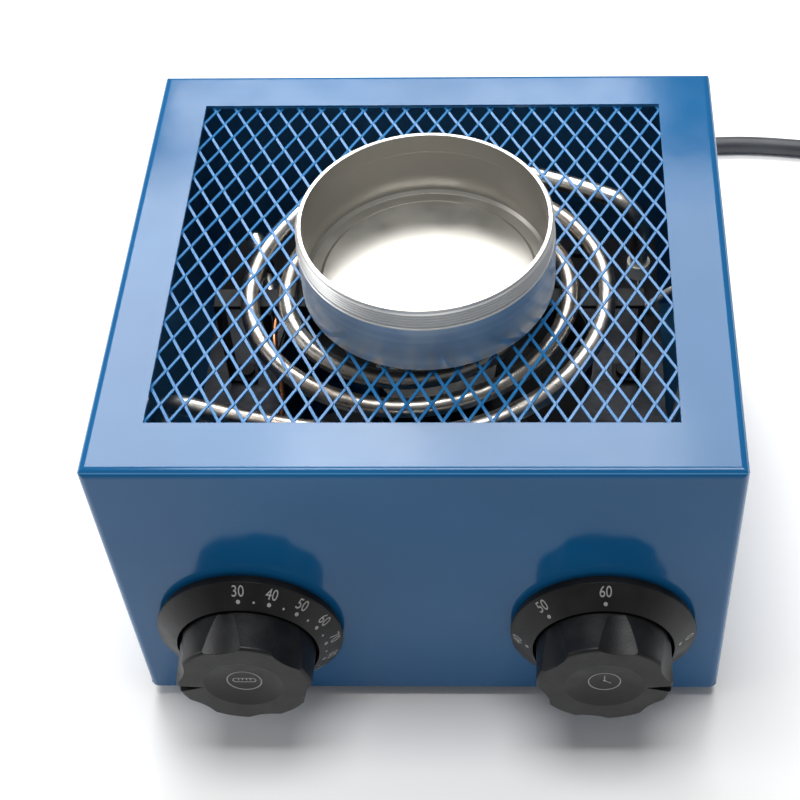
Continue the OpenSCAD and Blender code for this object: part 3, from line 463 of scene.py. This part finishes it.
black_plastic = moulded(
    "black_plastic", (0.006, 0.006, 0.0065), (0.011, 0.011, 0.0115), 0.4, depth=0.05,
    specular=0.3
)
fan_plastic = moulded("fan_plastic", (0.012, 0.013, 0.015), (0.02, 0.021, 0.024), 0.45)
foot_rubber = moulded("foot_rubber", (0.012, 0.012, 0.013), (0.024, 0.024, 0.025), 0.7)
lead_rubber = moulded(
    "lead_rubber", (0.034, 0.037, 0.045), (0.048, 0.052, 0.062), 0.48, grain=700, depth=0.02
)
relief_rubber = moulded("relief_rubber", (0.012, 0.013, 0.015), (0.022, 0.023, 0.026), 0.5)
plug_rubber = moulded("plug_rubber", (0.016, 0.017, 0.02), (0.026, 0.027, 0.031), 0.42, edge=0.5)
print_ink = moulded("print_ink", (0.3, 0.3, 0.29), (0.37, 0.37, 0.36), 0.55, edge=0.0)

dish_low, dish_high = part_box("parts_dish")
dish_middle = (dish_low + dish_high) / 2
aluminium = turned_aluminium("turned_aluminium", dish_middle)
tube_steel = heated_steel("heated_steel")

FINISHES = {
    "blue_paint": blue_paint, "grille_paint": net_paint, "base_paint": base_paint,
    "zinc_screws": zinc, "foot_rubber": foot_rubber, "heater_steel": tube_steel,
    "seal_ceramic": ceramic, "pin_steel": bright_steel, "bracket_steel": shaded_sheet_steel,
    "black_steel": black_steel, "fan_metal": fan_paint, "winding": winding,
    "fan_plastic": fan_plastic, "control_ceramic": ceramic, "bulb_copper": bulb_metal,
    "knob_black": black_plastic, "control_metal": zinc, "block_plastic": ivory,
    "wire_sleeve": sleeve, "lead_rubber": lead_rubber, "relief_rubber": relief_rubber,
    "plug_rubber": plug_rubber, "pin_brass": pin_brass, "dish_aluminium": aluminium,
}

for part in frame["record"]["subparts"]:
    for place in nodes[part["node"]].material_slots:
        place.material = FINISHES[part["material_slot"]]

# Camera
camera_data = bpy.data.cameras.new("camera")
camera_data.lens = CAMERA_LENS
camera_data.shift_x = CAMERA_SHIFT
camera = bpy.data.objects.new("camera", camera_data)
camera.location = CAMERA_PLACE
camera.rotation_euler = Euler([math.radians(a) for a in CAMERA_TURN])
bpy.context.scene.collection.objects.link(camera)
bpy.context.scene.camera = camera


# Mains lead: one line from its strain relief through its tied coil to its plug

def coil_point(t):
    """Spirals in, climbs a layer in part of a turn, and spirals out."""
    radius = COIL_IN + COIL_LAYER * abs(t - COIL_TURNS)
    climb = COIL_LAYER * min(1, max(0, (t - COIL_TURNS + CLIMB_TURNS / 2) / CLIMB_TURNS))
    angle = math.radians(90 - 360 * t)
    return (
        COIL_MIDDLE[0] + radius * math.cos(angle),
        COIL_MIDDLE[1] + radius * math.sin(angle),
        COIL_LOW + climb,
    )


def lead_line():
    coil_begin = (COIL_MIDDLE[0] - LEAD_D, COIL_MIDDLE[1] + COIL_OUT, COIL_LOW)
    coil_end = coil_point(2 * COIL_TURNS)
    free = smooth_line(
        [
            LEAD_EXIT,
            add_points(LEAD_EXIT, (0, 0.8 * LEAD_D, 0)),
            *[add_points(LEAD_FOOT, p) for p in LEAD_POINTS],
            add_points(coil_begin, (-0.8 * LEAD_D, 0, 0)),
            coil_begin,
        ],
        5,
    )
    count = round(2 * COIL_TURNS * 64)
    wound = [coil_point(2 * COIL_TURNS * i / count) for i in range(count + 1)]
    out = [add_points(coil_end, (0, -LEAD_OUT * share, 0)) for share in (0.2, 0.6, 1)]
    return [*free, *wound, *out]


lead = tube("mains_lead", lead_line(), LEAD_R, lead_rubber, rounds=6)
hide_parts("power_cord", "power_cord_coil")


# Heater: one tube, a double spiral of half circles with a leg at each end

def leg_line(start, last):
    middle = (
        -HALF_PITCH + (OUTER_R - LEG_R) * math.cos(math.radians(start)),
        -(OUTER_R - LEG_R) * math.sin(math.radians(start)),
    )
    turn = math.radians(last)
    way = Vector((-math.sin(turn), -math.cos(turn), 0))
    top = Vector((middle[0] + LEG_R * math.cos(turn), middle[1] - LEG_R * math.sin(turn), 0))
    bend = []
    for angle in range(10, 91, 10):
        b = math.radians(angle)
        bend.append(top + LEG_BEND_R * (math.sin(b) * way + Vector((0, 0, math.cos(b) - 1))))
    foot = bend[-1] - Vector((0, 0, LEG_DROP))
    return [*arc(middle, LEG_R, -start, -last, 1), *bend, foot]


def arm_line(start, sweep):
    line = [
        *arc((CLIP_X / 2, 0), CLIP_X / 2, 180, 0),
        *arc((-HALF_PITCH, 0), COIL_R - 3 * HALF_PITCH, 0, -180),
        *arc((HALF_PITCH, 0), COIL_R - HALF_PITCH, 180, 0),
        *arc((-HALF_PITCH, 0), OUTER_R, 0, -start),
        *leg_line(start, start + sweep),
    ]
    return [(p[0], COIL_SQUEEZE * p[1], p[2]) for p in line]


left_arm = arm_line(LEG_STARTS[0], LEG_SWEEPS[0])
right_arm = [(-p[0], -p[1], p[2]) for p in arm_line(LEG_STARTS[1], LEG_SWEEPS[1])]
heater_line = [
    add_points(HEATER_MIDDLE, p) for p in [*reversed(left_arm), (0, 0, 0), *right_arm]
]
heater = tube("heater_spiral", heater_line, TUBE_R, tube_steel, rounds=10)
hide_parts("heater_tube")


# Wires, thin sensing tube and the lead's inner end

def pin_foot(arm):
    return Vector(add_points(HEATER_MIDDLE, arm[-1])) - Vector((0, 0, PIN_DROP))


def from_point(base, offsets):
    return [Vector(base) + Vector(p) for p in offsets]


left_pin = pin_foot(left_arm)
right_pin = pin_foot(right_arm)
wall_room = INNER_WALL_X - right_pin[0]
wire_fall = right_pin[2] - WIRE_ENTRY
left_wire = [
    *from_point(left_pin, [(0, 0, 0), (0, 0, -2.2), (1, -3, -3.6), (4, -9, -4.4)]),
    *from_point(
        (-KNOB_X, CONTROL_FRONT, KNOB_Z),
        [(-9.25, 31, 23), (-5.25, 23, 23.4), (-3.25, 18, 21.2), (-3.25, 18, 17)],
    ),
]
right_wire = [
    *from_point(right_pin, [(0, 0, 0), (0, 0, -2.2)]),
    *from_point(right_pin, [(wall_room * x, y, z) for x, y, z in [
        (0.04, -3.4, -3.5), (0.12, -10, -2), (0.22, -13.4, 4), (0.39, -14.7, 10),
        (0.57, -14.5, 12.5), (0.72, -13.4, 10), (0.78, -12.4, 2),
    ]]),
    *from_point((BRACKET_X, FAN_Y, right_pin[2]), [(x, y, -wire_fall * z) for x, y, z in [
        (11.7, 18.2, 0.15), (11.5, 16.4, 0.34), (10, 12.6, 0.54), (8, 7.7, 0.72),
        (6.5, 5.7, 0.85), (5.2, 11.7, 0.954), (4, 22.7, 1), (2.6, 31.7, 1), (-2.6, 41.7, 1),
    ]]),
    *from_point(
        (BLOCK_SIDE, BLOCK_Y, WIRE_ENTRY), [(9.5, -7, 0), (5.5, -1.2, 0), (3, 0, 0), (0, 0, 0)]
    ),
]
timer_wire = [
    *from_point(
        (KNOB_X, CONTROL_FRONT + TIMER_DEPTH, KNOB_Z), [(-10, 0, -12), (-10, 2.4, -12), (-6.5, 6, -20)]
    ),
    *from_point(
        (BLOCK_X, BODY_Y, WIRE_ENTRY), [(7, -34, 4.3), (6, -18, 0.8), (6, 0, 0), (4, 36, 0)]
    ),
    *from_point((BLOCK_X, BLOCK_FRONT, WIRE_ENTRY), [(1, -10, 0), (0, -3, 0), (0, 0, 0)]),
]
for name, route in (("left", left_wire), ("right", right_wire), ("timer", timer_wire)):
    wire = tube(
        "wire_" + name, smooth_line(route, 6), WIRE_R, sleeve, rounds=4
    )
    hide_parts("internal_wires")

bulb_angle = math.radians(BULB_TURN)
bulb_out = Vector((math.sin(bulb_angle), -math.cos(bulb_angle), 0))
sense_start = Vector(BULB) + BULB_REACH * bulb_out
sense_end = Vector((-KNOB_X, CONTROL_FRONT + 13, KNOB_Z + 17))
sense_way = sense_end - sense_start
sense_line = [sense_start, sense_start + 4 * bulb_out]
for x, y, z in [
    (0.06, 0.144, 0.036), (-0.04, 0.242, 0.154), (-0.19, 0.37, 0.343), (0.1, 0.498, 0.533),
    (0.45, 0.613, 0.675), (0.85, 0.727, 0.77), (0.99, 0.83, 0.82),
]:
    sway = Vector((SENSE_SWAY * math.sin(math.pi * y), 0, 0))
    share = Vector((sense_way[0] * x, sense_way[1] * y, sense_way[2] * z))
    sense_line.append(sense_start + share + sway)
sense_line += from_point(sense_end, [(0, 3, 6), (0, 0, 2.5), (0, 0, 0)])
sense_tube = tube(
    "sensing_tube", smooth_line(sense_line, 6), SENSE_R, thin_tube, rounds=4
)
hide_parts("thermostat_capillary")

inner_line = [
    (LEAD_EXIT[0] + x, BLOCK_BACK + INNER_LEAD_RUN * y, LEAD_EXIT[2] - INNER_LEAD_FALL * z)
    for x, y, z in [
        (0, 1, 0), (0, 0.8, 0), (-0.4, 0.62, 0.05), (-1.5, 0.54, 0.2), (-4, 0.54, 0.45),
        (-7, 0.54, 0.7), (-9, 0.46, 0.88), (-10, 0.3, 0.98), (-10, 0.13, 1), (-10, 0, 1),
    ]
]
inner = tube(
    "inner_lead_end", smooth_line(inner_line, 5), INNER_LEAD_R, lead_rubber
)
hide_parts("inner_lead")


# Expanded metal: strands that zigzag from front to back and touch their neighbours

def strand_section():
    """Corners of a strand's tilted cross-section, with its edges taken off."""
    half_w, half_t, cut = STRAND_W / 2, STRAND_T / 2, STRAND_CUT
    corners = [
        (half_w, half_t - cut), (half_w - cut, half_t), (cut - half_w, half_t),
        (-half_w, half_t - cut), (-half_w, cut - half_t), (cut - half_w, -half_t),
        (half_w - cut, -half_t), (half_w, cut - half_t),
    ]
    turn = math.radians(STRAND_TILT)
    return [
        (u * math.cos(turn) - v * math.sin(turn), u * math.sin(turn) + v * math.cos(turn))
        for u, v in corners
    ]


def strand(points, z, section, vertices, faces):
    """Adds a strand along a flat line to the lists."""
    first = len(vertices)
    last = len(points) - 1
    for i, point in enumerate(points):
        before = Vector(points[max(i - 1, 0)])
        after = Vector(points[min(i + 1, last)])
        way = (after - before).normalized()
        for u, v in section:
            vertices.append((point[0] + way.y * u, point[1] - way.x * u, z + v))
    size = len(section)
    for i in range(last):
        for k in range(size):
            a = first + i * size + k
            b = first + i * size + (k + 1) % size
            faces.append((a, b, b + size, a + size))
    faces.append(tuple(first + k for k in reversed(range(size))))
    faces.append(tuple(first + last * size + k for k in range(size)))


def expanded_metal():
    low, high = (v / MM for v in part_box("top_grille"))
    section = strand_section()
    reach = (DIAMOND_W / 2 - STRAND_W + STRAND_LAP) / 2
    columns = int((high.x - low.x - STRAND_W) / (DIAMOND_W / 2))
    rows = int((high.y - low.y - BOND_L) / (DIAMOND_D / 2))
    middle_x = (low.x + high.x) / 2
    middle_y = (low.y + high.y) / 2
    vertices, faces = [], []
    for k in range(columns):
        x = middle_x + (k - (columns - 1) / 2) * DIAMOND_W / 2
        points = []
        for j in range(rows + 1):
            y = middle_y + (j - rows / 2) * DIAMOND_D / 2
            side = x + (reach if (k + j) % 2 else -reach)
            points += [(side, y - BOND_L / 2), (side, y + BOND_L / 2)]
        lift = STRAND_LIFT if k % 2 else -STRAND_LIFT
        strand(points, (low.z + high.z) / 2 + lift, section, vertices, faces)
    return vertices, faces


net = solid("expanded_metal", *expanded_metal(), net_paint, "housing", "grille_paint")
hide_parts("top_grille")


# Printed marks: flat shapes in millimetres, bent onto the dial rings and the grips' faces

def prism(outline):
    """A thin plate with that outline."""
    count = len(outline)
    vertices = [(x, y, side * PRINT_T / 2) for side in (1, -1) for x, y in outline]
    faces = [tuple(range(count)), tuple(reversed(range(count, 2 * count)))]
    for i in range(count):
        j = (i + 1) % count
        faces.append((i, i + count, j + count, j))
    return vertices, faces


def dot(radius):
    angles = [math.radians(20 * i) for i in range(18)]
    return prism([(radius * math.cos(a), radius * math.sin(a)) for a in angles])


def stroke(points, width, closed=False):
    """A thin line of some width through flat points."""
    count = len(points)
    vertices, faces = [], []
    for i, point in enumerate(points):
        before = points[i - 1] if closed or i else point
        after = points[(i + 1) % count] if closed or i < count - 1 else point
        way = (Vector(after) - Vector(before)).normalized()
        for side, high in ((1, 1), (-1, 1), (-1, -1), (1, -1)):
            vertices.append((
                point[0] - way.y * side * width / 2,
                point[1] + way.x * side * width / 2,
                high * PRINT_T / 2,
            ))
    for i in range(count if closed else count - 1):
        a = 4 * i
        b = 4 * ((i + 1) % count)
        for k in range(4):
            n = (k + 1) % 4
            faces.append((a + k, b + k, b + n, a + n))
    if not closed:
        end = 4 * (count - 1)
        faces += [(0, 1, 2, 3), (end + 3, end + 2, end + 1, end)]
    return vertices, faces


def circle_points(radius, start=0, end=360, count=48, middle=(0, 0)):
    angles = [math.radians(start + (end - start) * i / count) for i in range(count + 1)]
    return [(middle[0] + radius * math.cos(a), middle[1] + radius * math.sin(a)) for a in angles]


def numeral(text):
    """A number as a thin plate, of one height and width for two digits."""
    curve = bpy.data.curves.new("numeral", "FONT")
    curve.body = text
    curve.extrude = 0.05
    curve.resolution_u = 4
    letters = bpy.data.objects.new("numeral", curve)
    bpy.context.scene.collection.objects.link(letters)
    bpy.context.view_layer.update()
    mesh = bpy.data.meshes.new_from_object(letters.evaluated_get(
        bpy.context.evaluated_depsgraph_get()
    ))
    places = [v.co.copy() for v in mesh.vertices]
    faces = [tuple(p.vertices) for p in mesh.polygons]
    bpy.data.objects.remove(letters)
    bpy.data.curves.remove(curve)
    bpy.data.meshes.remove(mesh)
    low = Vector([min(p[i] for p in places) for i in range(3)])
    high = Vector([max(p[i] for p in places) for i in range(3)])
    size = high - low
    width = NUMERAL_W * len(text) / 2
    vertices = [
        (
            ((p.x - low.x) / size.x - 0.5) * width,
            ((p.y - low.y) / size.y - 0.5) * NUMERAL_H,
            ((p.z - low.z) / size.z - 0.5) * PRINT_T,
        )
        for p in places
    ]
    return vertices, faces


def on_ring(knob_x, angle, radius):
    """Bends a flat shape onto a dial ring's cone, at a clock angle."""
    slope = math.radians(RING_SLOPE)

    def bend(p):
        r = radius + p[1] * math.cos(slope)
        a = math.radians(angle) + p[0] / r
        height = RING_EDGE_H + (RING_OUT_R - r) * math.tan(slope) + PRINT_GAP + p[2]
        return (
            knob_x + r * math.sin(a),
            FRONT_Y - height,
            KNOB_Z + r * math.cos(a),
        )

    return bend


def on_grip(knob_x):
    """Bends a flat shape onto a grip's hollow face."""
    dome_r = (HOLLOW_R ** 2 + HOLLOW_DEEP ** 2) / (2 * HOLLOW_DEEP)

    def bend(p):
        sunk = dome_r - math.sqrt(dome_r ** 2 - p[0] ** 2 - p[1] ** 2)
        height = KNOB_REACH - HOLLOW_DEEP + sunk + PRINT_GAP + p[2]
        return (knob_x + p[0], FRONT_Y - height, KNOB_Z + p[1])

    return bend


def printed(name, shapes, body):
    """Joins bent shapes into one piece."""
    vertices, faces = [], []
    for (flat, plates), bend in shapes:
        first = len(vertices)
        vertices += [bend(p) for p in flat]
        faces += [tuple(first + i for i in plate) for plate in plates]
    return solid(name, vertices, faces, print_ink, body)


def scale_marks(knob_x, marks, dot_r, small=()):
    shapes = []
    for angle, text in marks:
        shapes.append((numeral(text), on_ring(knob_x, angle, NUMERAL_R)))
        shapes.append((dot(MARK_DOT_R), on_ring(knob_x, angle, dot_r)))
    for angle in small:
        shapes.append((dot(SMALL_DOT_R), on_ring(knob_x, angle, dot_r)))
    return shapes


heat_marks = [(HEAT_STEP * i, str(30 + 10 * i)) for i in range(9)]
heat_between = [HEAT_STEP * (i + 0.5) for i in range(8)]
time_marks = [(-TIME_STEP * i, str(60 - 10 * i)) for i in range(7)]
heat_shapes = scale_marks(-KNOB_X, heat_marks, HEAT_DOTS_R, heat_between)
printed("temperature_scale", heat_shapes, "housing")
printed("timer_scale", scale_marks(KNOB_X, time_marks, TIME_DOTS_R), "housing")

thermometer = [
    *circle_points(1.15, 90, 270, 14, (-2.6, 0)),
    *circle_points(1.15, -90, 90, 14, (2.6, 0)),
]
heat_icon = [
    stroke(circle_points(5.6)[:-1], LINE_W, closed=True),
    stroke(thermometer, LINE_W, closed=True),
    *[stroke([(x, -0.35), (x, 0.75)], LINE_W) for x in (-1.9, -0.6, 0.7, 2)],
]
clock_icon = [
    stroke(circle_points(5.2)[:-1], LINE_W, closed=True),
    stroke([(0, 3.2), (0, 0), (2.2, -1.4)], LINE_W),
    dot(0.5),
]
printed("heat_icon", [(s, on_grip(-KNOB_X)) for s in heat_icon], "temperature_knob")
printed("clock_icon", [(s, on_grip(KNOB_X)) for s in clock_icon], "timer_knob")


# Floor and light

def area_light(name, place, target, size, power):
    data = bpy.data.lights.new(name, "AREA")
    data.shape = "RECTANGLE"
    data.size, data.size_y = size
    data.energy = power
    light = bpy.data.objects.new(name, data)
    light.location = place
    way = Vector(target) - Vector(place)
    light.rotation_euler = way.to_track_quat("-Z", "Y").to_euler()
    bpy.context.scene.collection.objects.link(light)


floor_material = new_material("pale_floor", (0.92, 0.92, 0.92), 0.75, specular=0.2)
tint(floor_material, noise(floor_material, 3), (0.91, 0.91, 0.91), (0.93, 0.93, 0.93))
floor_mesh = bpy.data.meshes.new("floor")
corners = [(-FLOOR_HALF, -FLOOR_HALF, 0), (FLOOR_HALF, -FLOOR_HALF, 0)]
corners += [(FLOOR_HALF, FLOOR_HALF, 0), (-FLOOR_HALF, FLOOR_HALF, 0)]
floor_mesh.from_pydata(corners, [], [(0, 1, 2, 3)])
floor_mesh.materials.append(floor_material)
floor = bpy.data.objects.new("floor", floor_mesh)
bpy.context.scene.collection.objects.link(floor)

for name, x, y, z, wide, deep, power in (
    ("main", -0.07, 0.8, 1.06, 1.0, 0.56, 12.5),
    ("far", -0.13, 1.22, 1.08, 0.6, 0.16, 2.9),
    ("left", -0.36, 0.8, 1.04, 0.56, 0.5, 3.6),
    ("near", -0.02, 0.62, 1.02, 0.4, 0.13, 0.8),
):
    area_light("box_" + name, (x, y, z), (x, y, 0), (wide, deep), power)
area_light("overhead", (0, 0, 1.5), (0, 0.05, 0), (0.8, 0.5), 14)
area_light("left_side", (-1.1, 0, 0.55), (0, 0, 0.1), (0.5, 0.7), 3)
world = bpy.data.worlds.new("studio")
world.use_nodes = True
background = world.node_tree.nodes["Background"]
background.inputs["Color"].default_value = (1, 1, 1, 1)
background.inputs["Strength"].default_value = WORLD_STRENGTH
bpy.context.scene.world = world
bpy.context.scene.view_settings.view_transform = "Standard"
